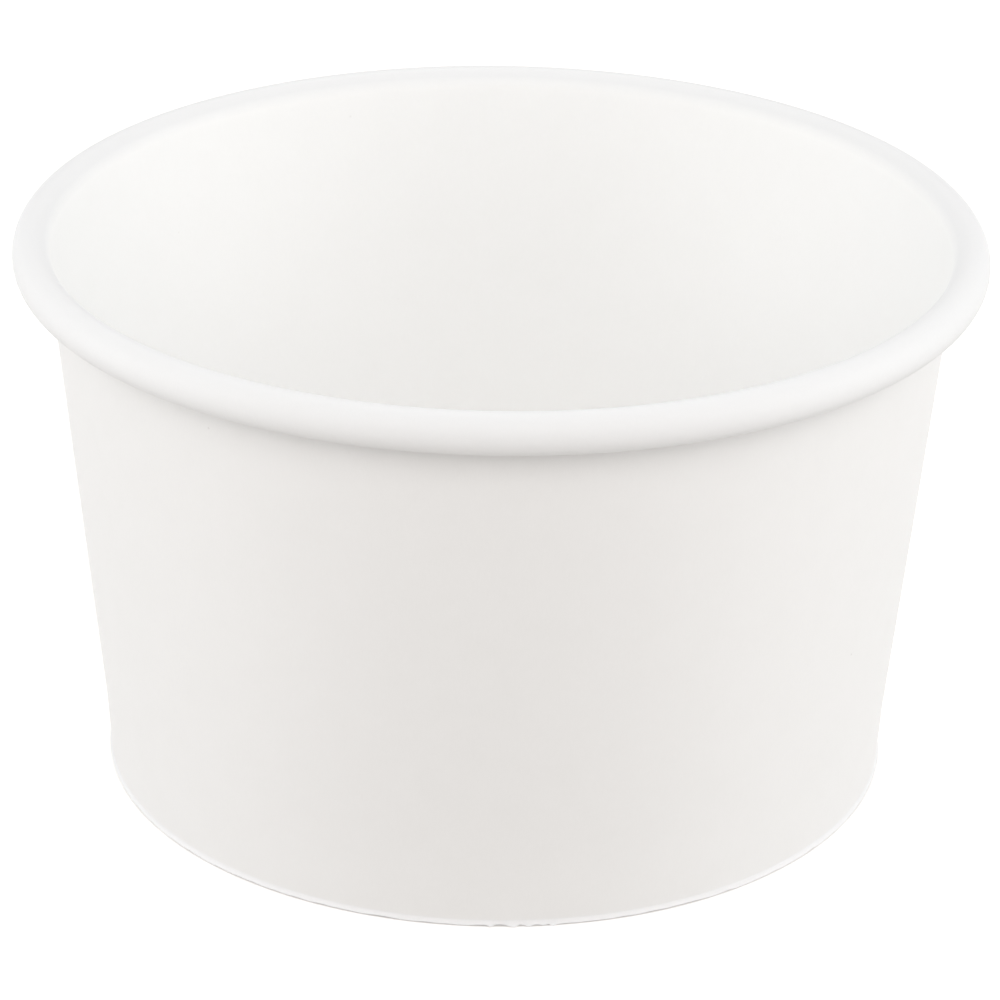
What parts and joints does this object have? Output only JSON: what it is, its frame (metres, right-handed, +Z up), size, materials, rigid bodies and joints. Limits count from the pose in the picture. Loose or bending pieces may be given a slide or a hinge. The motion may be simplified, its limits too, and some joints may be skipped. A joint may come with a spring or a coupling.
{
  "type": "paper food cup",
  "caption": "Round white paperboard food cup with a tapered wall, a rolled rim that takes a lid, a folded foot and a recessed bottom.",
  "frame": {"origin": "centre of the foot's circle, on the surface that the cup stands on", "axes": "+Z up along the cup's axis, towards the open rim; the side seam is at the back left, near -X"},
  "size_m": [0.096, 0.096, 0.0566],
  "materials": {
    "wall_board": "white coated paperboard, satin",
    "floor_board": "white coated paperboard, satin"
  },
  "bodies": {
    "root": {"side_wall": "wall_board", "bottom_disc": "floor_board"}
  },
  "joints": []
}
